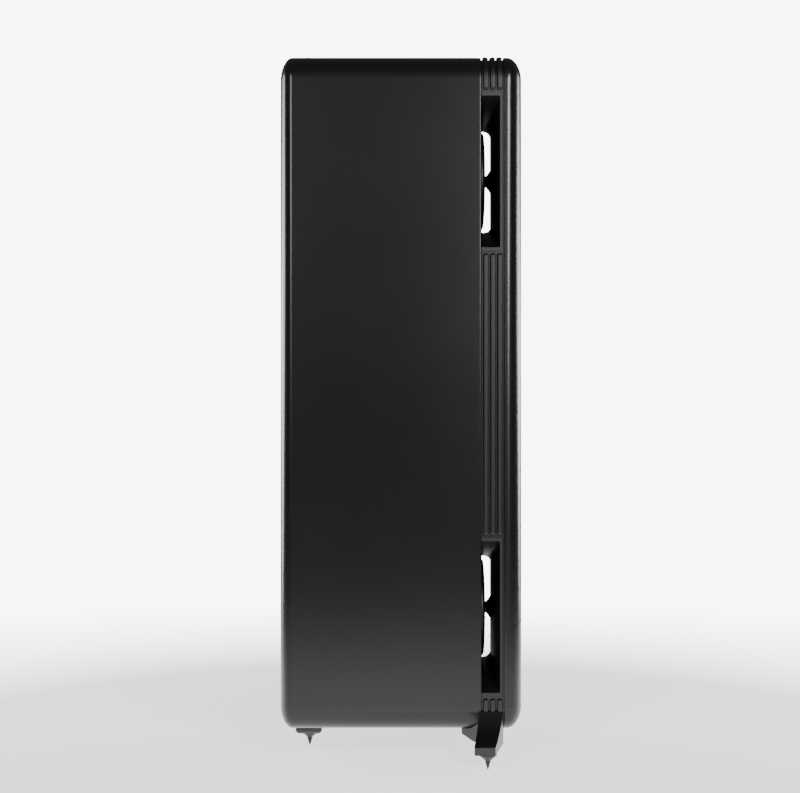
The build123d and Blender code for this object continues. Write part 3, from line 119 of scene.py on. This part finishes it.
# Cabinet shell: a deep moulded housing and a dished front panel, both sprayed satin black, with a fine
# powder grain that catches long soft highlights along their rounded edges.
shell_coat = finish_coat("satin_black_coat", (0.0030, 0.0031, 0.0036), (0.0045, 0.0047, 0.0054), 0.24, 0.03, 0.05)
dress(shell_coat, "main_housing", "front_panel")

# Ribbed band: one frame moulded in black, a little rougher than the sprayed shell it sits between.
band_plastic = finish_coat("ribbed_band_plastic", (0.0038, 0.0039, 0.0044), (0.0056, 0.0058, 0.0065), 0.34, 0.05, 0.12)
dress(band_plastic, "ribbed_band")

# Side ducts: flared liners, outlet rims, guards and deflector cones, all moulded in matt black so that
# nothing shines in the way of the dark openings.
duct_plastic = finish_coat("duct_plastic", (0.0035, 0.0035, 0.004), (0.0055, 0.0055, 0.006), 0.42, 0.06, 0.15)
levels = ("upper", "lower")
dress(duct_plastic, *[f"{level}_{piece}" for level in levels for piece in ("duct_liner", "outlet_ring", "finger_guard", "deflector")])

# Inner mouldings: baffle, filter seat and tray, fan frames and rotors, in plain black with a coarse grain.
inner_plastic = finish_coat("inner_plastic", (0.006, 0.006, 0.0063), (0.01, 0.01, 0.0105), 0.55, 0.1, 0.3, grain=500.0)
dress(
    inner_plastic,
    "front_baffle",
    "filter_seat",
    "filter_tray",
    "air_sensor",
    "rocker_bezel",
    "mains_inlet",
    *[f"{level}_{piece}" for level in levels for piece in ("fan_frame", "impeller")],
)

# Rear door and top strip: moulded in satin black to match the shell, with a visible moulding grain.
door_plastic = finish_coat("door_plastic", (0.0045, 0.0046, 0.0052), (0.007, 0.0072, 0.008), 0.4, 0.06, 0.25, grain=650.0)
dress(door_plastic, "rear_door", "control_strip")

# Stand: a casting under the front and a block under the back, in a satin black coat over cast metal.
cast_coat = finish_coat("cast_coat", (0.0035, 0.0035, 0.004), (0.0055, 0.0055, 0.006), 0.34, 0.1, 0.35, coat=0.15, grain=420.0)
dress(cast_coat, "front_stand", "rear_foot")

# Spikes: turned steel with a black oxide finish, its fine rings left by the lathe.
spike_steel = finish_coat("black_oxide_steel", (0.02, 0.02, 0.022), (0.05, 0.05, 0.053), 0.3, 0.12, 0.2, metallic=0.85, grain=700.0)
dress(spike_steel, "left_front_spike", "right_front_spike", "rear_spike")

# Fixings and motor steel: zinc-plated screws, magnets, shafts, bearings and the stators' stacked sheets.
zinc = finish_coat("zinc_steel", (0.42, 0.42, 0.43), (0.6, 0.6, 0.62), 0.32, 0.15, 0.15, metallic=1.0, grain=600.0)
dress(
    zinc,
    "fan_screws",
    "band_screws",
    "stand_screws",
    "board_screws",
    "door_magnets",
    "magnet_plates",
    "fan_bearings",
    *[f"{level}_{piece}" for level in levels for piece in ("fan_shaft", "fan_stator", "rotor_magnet")],
)

# Brass: the threaded inserts for the spikes, and the hexagonal standoffs under the boards.
brass = finish_coat("turned_brass", (0.5, 0.36, 0.14), (0.72, 0.55, 0.26), 0.28, 0.12, 0.12, metallic=1.0, grain=700.0)
dress(brass, "spike_inserts", "board_standoffs")

# Small nylon pieces: the push studs of the front panel, and the switches under the buttons.
nylon = finish_coat("grey_nylon", (0.06, 0.06, 0.065), (0.1, 0.1, 0.105), 0.35, 0.08, 0.1)
dress(nylon, "panel_studs", "tact_switches")

# Circuit boards: glass-filled sheet under green solder mask.
solder_mask = finish_coat("solder_mask", (0.008, 0.06, 0.025), (0.015, 0.11, 0.045), 0.28, 0.06, 0.1, grain=300.0, wave=40.0)
dress(solder_mask, "power_board", "control_board", "button_board")

# Leads: soft black jackets, clipped inside the cabinet.
jacket = finish_coat("lead_jacket", (0.012, 0.012, 0.012), (0.022, 0.022, 0.022), 0.5, 0.08, 0.15)
dress(jacket, "mains_lead", "upper_fan_lead", "lower_fan_lead")

# Buttons and rocker: caps moulded in black with a smoother, slightly shinier face than the strip.
cap_plastic = finish_coat("cap_plastic", (0.02, 0.02, 0.022), (0.028, 0.028, 0.031), 0.24, 0.05, 0.08)
dress(cap_plastic, "power_button", "speed_button", "mode_button", "rocker_switch")

# Status light: a slim milky lens over a light that is off.
lens_plastic = finish_coat("milky_lens", (0.5, 0.54, 0.58), (0.62, 0.66, 0.7), 0.22, 0.04, 0.05, grain=1200.0)
dress(lens_plastic, "status_light")

# Gasket: dark closed-cell foam, with open cells showing on its cut edges.
foam = finish_coat("gasket_foam", (0.015, 0.015, 0.015), (0.04, 0.04, 0.04), 0.85, 0.1, 0.9, grain=1500.0)
dress(foam, "filter_gasket")

# Fine filter and pre-filter: fibrous off-white media, folded for the one and netted for the other.
media = finish_coat("filter_media", (0.6, 0.61, 0.58), (0.78, 0.79, 0.77), 0.9, 0.06, 0.7, grain=1300.0)
dress(media, "hepa_filter", "prefilter_mesh")

# Carbon filter: black granules held in a thin mesh.
granules = finish_coat("carbon_granules", (0.006, 0.006, 0.006), (0.04, 0.04, 0.042), 0.6, 0.25, 1.0, grain=380.0)
dress(granules, "carbon_filter")


# Studio: a pale floor that fades into a white room, and tall soft panels beside the camera, which draw the
# long light lines down the shell's rounded edges. The room itself is dim, so that the wide side stays dark.
floor_mesh = bpy.data.meshes.new("studio_floor")
floor_mesh.from_pydata([(-4, -4, 0), (4, -4, 0), (4, 4, 0), (-4, 4, 0)], [], [(0, 1, 2, 3)])
studio_floor = bpy.data.objects.new("studio_floor", floor_mesh)
bpy.context.scene.collection.objects.link(studio_floor)
floor_paint = bpy.data.materials.new("floor_paint")
floor_paint.use_nodes = True
floor_tree = floor_paint.node_tree
floor_shader = floor_tree.nodes["Principled BSDF"]
floor_start = Wire(floor_tree, None)
floor_place = floor_start.node("ShaderNodeTexCoord", outlet=3)
floor_reach = floor_start.node("ShaderNodeVectorMath", {"operation": "LENGTH"}, outlet=1, s0=floor_place)
floor_solid = floor_start.node(
    "ShaderNodeValToRGB", {"stops": ((0.18, (1, 1, 1, 1)), (0.42, (0, 0, 0, 1)))}, s0=floor_reach / 4.0
)
floor_shader.inputs["Base Color"].default_value = (0.95, 0.95, 0.95, 1)
floor_shader.inputs["Roughness"].default_value = 0.9
floor_shader.inputs["Emission Color"].default_value = (1, 1, 1, 1)
floor_shader.inputs["Emission Strength"].default_value = 1.3
floor_tree.links.new(floor_solid.socket, floor_shader.inputs["Alpha"])
floor_mesh.materials.append(floor_paint)


def soft_panel(name, place, target, width, height, power):
    light_data = bpy.data.lights.new(name, "AREA")
    light_data.shape = "RECTANGLE"
    light_data.size = width
    light_data.size_y = height
    light_data.energy = power
    light = bpy.data.objects.new(name, light_data)
    light.location = place
    light.rotation_euler = (Vector(target) - Vector(place)).to_track_quat("-Z", "Z").to_euler()
    bpy.context.scene.collection.objects.link(light)
    return light


soft_panel("front_side_panel", (1.25, -3.0, 1.45), (0.1, 0, 0.9), 0.7, 1.6, 75)
soft_panel("rear_side_panel", (-1.35, -3.0, 1.5), (-0.1, 0, 0.9), 0.7, 1.4, 34)
soft_panel("front_back_panel", (2.4, 1.7, 0.8), (0, 0, 0.5), 1.2, 2.0, 60)
soft_panel("rear_back_panel", (-2.4, 1.7, 0.8), (0, 0, 0.5), 1.2, 2.0, 60)

world = bpy.data.worlds.new("studio_air")
world.use_nodes = True
air_tree = world.node_tree
air = air_tree.nodes["Background"]
air_start = Wire(air_tree, None)
seen_directly = air_start.node("ShaderNodeLightPath", outlet=0)
air.inputs["Color"].default_value = (1.0, 1.0, 1.0, 1)
brightness = seen_directly * 8.0 + 0.12
air_tree.links.new(brightness.socket, air.inputs["Strength"])
bpy.context.scene.world = world
